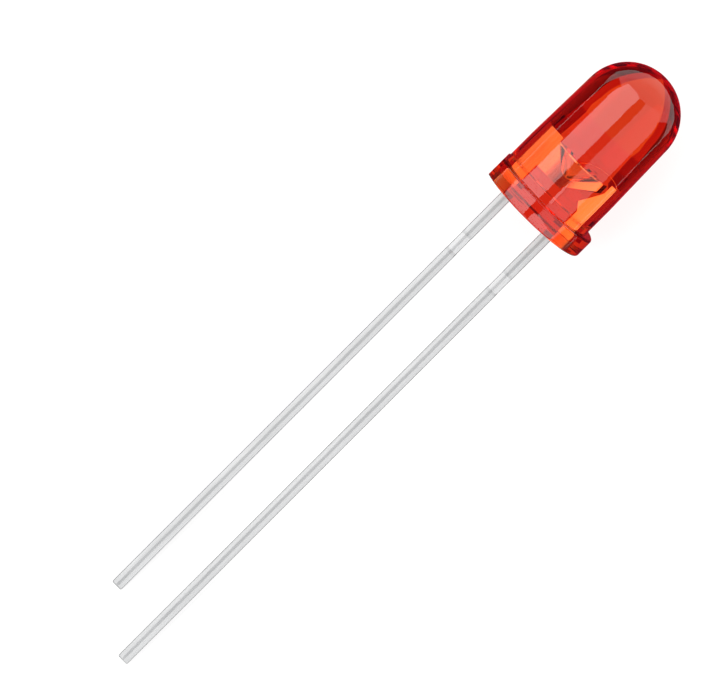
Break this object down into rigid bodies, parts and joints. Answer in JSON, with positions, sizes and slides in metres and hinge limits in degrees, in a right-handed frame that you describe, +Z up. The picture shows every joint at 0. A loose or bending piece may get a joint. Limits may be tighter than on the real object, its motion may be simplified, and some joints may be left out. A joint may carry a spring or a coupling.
{
  "type": "through hole led",
  "caption": "Round transparent red through hole light emitting diode: flanged, domed lens with a flat on the cathode's side, and long straight leads, the anode's longer.",
  "frame": {"origin": "on the surface that the part lies on, under the middle of its box", "axes": "+Z up; +X along the lens's axis as seen from above, from the leads to the dome; +Y towards the cathode's side, with the flat and the short lead. The lens's axis points 5.6 degrees above +X, and the leads' plane is rolled 4.9 degrees about it, the short lead lower, because the part rests on its flange's edge and both lead tips"},
  "size_m": [0.0358, 0.0054, 0.0058],
  "materials": {
    "clear_red_epoxy": "cast epoxy, clear and smooth, dyed red through",
    "tinned_steel": "stamped steel sheet, dipped in tin, satin",
    "semiconductor": "dark crystal with sawn sides",
    "silver_adhesive": "silver-filled epoxy, dull",
    "gold": "drawn gold wire"
  },
  "bodies": {
    "root": {"lens": "clear_red_epoxy", "cathode_lead": "tinned_steel", "anode_lead": "tinned_steel", "led_chip": "semiconductor", "chip_adhesive": "silver_adhesive", "bond_wire": "gold"}
  },
  "joints": []
}
